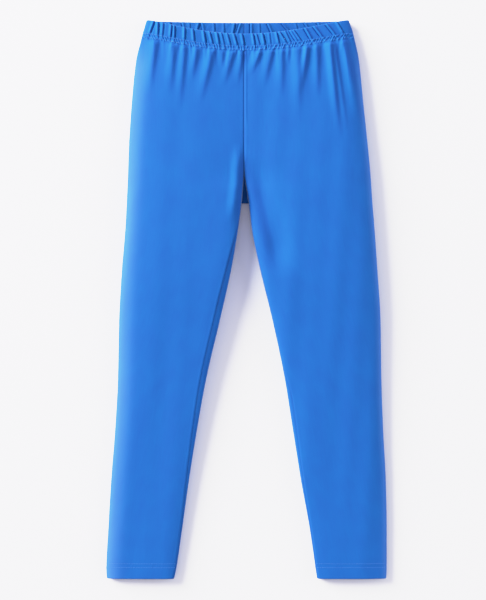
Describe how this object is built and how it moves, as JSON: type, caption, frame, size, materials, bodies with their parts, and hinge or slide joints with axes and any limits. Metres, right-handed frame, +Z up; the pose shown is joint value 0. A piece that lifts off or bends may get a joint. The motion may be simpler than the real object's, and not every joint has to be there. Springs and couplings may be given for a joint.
{
  "type": "child's leggings laid flat",
  "caption": "Full-length child's leggings in plain jersey with a gathered elastic waist casing, laid flat on their back with open hems and an open waist.",
  "frame": {"origin": "on the surface that the leggings lie on, under the middle of their length and width", "axes": "+Y runs from the hems to the waist, +Z up through the front of the garment, +X to the right of a viewer who looks straight down at the front"},
  "size_m": [0.3372, 0.6708, 0.0245],
  "materials": {
    "jersey": "matte brushed cotton jersey, plain blue, with matching thread"
  },
  "bodies": {
    "root": {"leg_left": "jersey", "leg_right": "jersey", "waistband_left": "jersey", "waistband_right": "jersey"}
  },
  "joints": []
}
